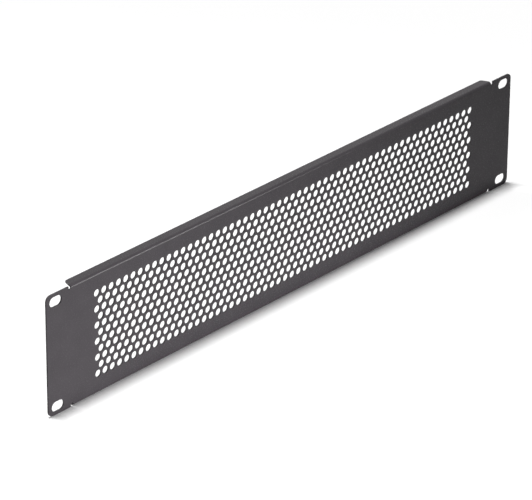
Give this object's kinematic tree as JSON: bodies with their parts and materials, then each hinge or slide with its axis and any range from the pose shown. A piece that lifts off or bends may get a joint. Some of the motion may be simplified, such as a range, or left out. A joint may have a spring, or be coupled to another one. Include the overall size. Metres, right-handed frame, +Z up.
{
  "type": "vented rack blanking panel",
  "caption": "Folded steel blanking panel for a 19 inch rack, two units high, with a staggered field of round vent holes, a flange along each long edge and slotted ears.",
  "frame": {"origin": "centre of the four mounting slots, on the panel's rear face, which lies against the rack rails", "axes": "+X along the panel, +Z up, and the front face looks along -Y, so the flanges reach back along +Y"},
  "size_m": [0.4826, 0.0082, 0.0882],
  "materials": {
    "powder_coat": "dark grey powder coat, fine texture, satin"
  },
  "bodies": {
    "root": {"blanking_panel": "powder_coat"}
  },
  "joints": []
}
